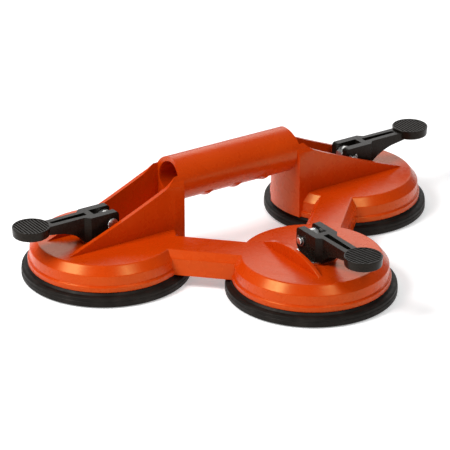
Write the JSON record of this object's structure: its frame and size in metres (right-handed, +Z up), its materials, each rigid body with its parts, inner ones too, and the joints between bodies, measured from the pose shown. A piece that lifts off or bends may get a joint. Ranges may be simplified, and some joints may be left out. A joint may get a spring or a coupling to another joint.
{
  "type": "suction cup lifter",
  "caption": "Hand lifter: an orange moulded frame with a tubular handle joins vacuum suction cups, each clamped by a black cam lever over a steel stud and rubber pad.",
  "frame": {"origin": "on the floor, under the middle of the whole lifter's box", "axes": "+X along the handle to the right cup, +Y away from the front cup, +Z up"},
  "size_m": [0.3458, 0.2324, 0.073],
  "materials": {
    "orange_plastic": "satin moulded plastic",
    "black_plastic": "fine moulded grain",
    "rubber_pad": "smooth moulded rubber",
    "steel_plate": "pressed sheet",
    "zinc_steel": "bright zinc plating",
    "spring_steel": "oiled spring steel"
  },
  "bodies": {
    "base": {"frame": "orange_plastic", "left_pad": "rubber_pad", "left_wear_washer": "zinc_steel", "right_pad": "rubber_pad", "right_wear_washer": "zinc_steel", "front_pad": "rubber_pad", "front_wear_washer": "zinc_steel"},
    "left_plunger": {"left_backing_plate": "steel_plate", "left_stud": "zinc_steel"},
    "left_lever_set": {"left_lever": "black_plastic", "left_pivot_pin": "zinc_steel", "left_retaining_ring": "spring_steel"},
    "right_plunger": {"right_backing_plate": "steel_plate", "right_stud": "zinc_steel"},
    "right_lever_set": {"right_lever": "black_plastic", "right_pivot_pin": "zinc_steel", "right_retaining_ring": "spring_steel"},
    "front_plunger": {"front_backing_plate": "steel_plate", "front_stud": "zinc_steel"},
    "front_lever_set": {"front_lever": "black_plastic", "front_pivot_pin": "zinc_steel", "front_retaining_ring": "spring_steel"}
  },
  "joints": [
    {"name": "left_plunger_slide", "type": "slide", "parent": "base", "child": "left_plunger", "axis": [0, 0, 1], "range_m": [-0.0047, 0], "deforming": ["left_pad"]},
    {"name": "left_lever_hinge", "type": "hinge", "parent": "left_plunger", "child": "left_lever_set", "pos_m": [-0.1015, 0.0572, 0.0395], "axis": [0, 1, 0], "range_deg": [0, 90]},
    {"name": "right_plunger_slide", "type": "slide", "parent": "base", "child": "right_plunger", "axis": [0, 0, 1], "range_m": [-0.0047, 0], "deforming": ["right_pad"]},
    {"name": "right_lever_hinge", "type": "hinge", "parent": "right_plunger", "child": "right_lever_set", "pos_m": [0.1015, 0.0572, 0.0395], "axis": [0, -1, 0], "range_deg": [0, 90]},
    {"name": "front_plunger_slide", "type": "slide", "parent": "base", "child": "front_plunger", "axis": [0, 0, 1], "range_m": [-0.0047, 0], "deforming": ["front_pad"]},
    {"name": "front_lever_hinge", "type": "hinge", "parent": "front_plunger", "child": "front_lever_set", "pos_m": [0, -0.0448, 0.0395], "axis": [-1, 0, 0], "range_deg": [0, 90]}
  ],
  "couplings": [
    {"joint": "left_plunger_slide", "follows": "left_lever_hinge", "m_per_rad": -0.002992},
    {"joint": "right_plunger_slide", "follows": "right_lever_hinge", "m_per_rad": -0.002992},
    {"joint": "front_plunger_slide", "follows": "front_lever_hinge", "m_per_rad": -0.002992}
  ]
}
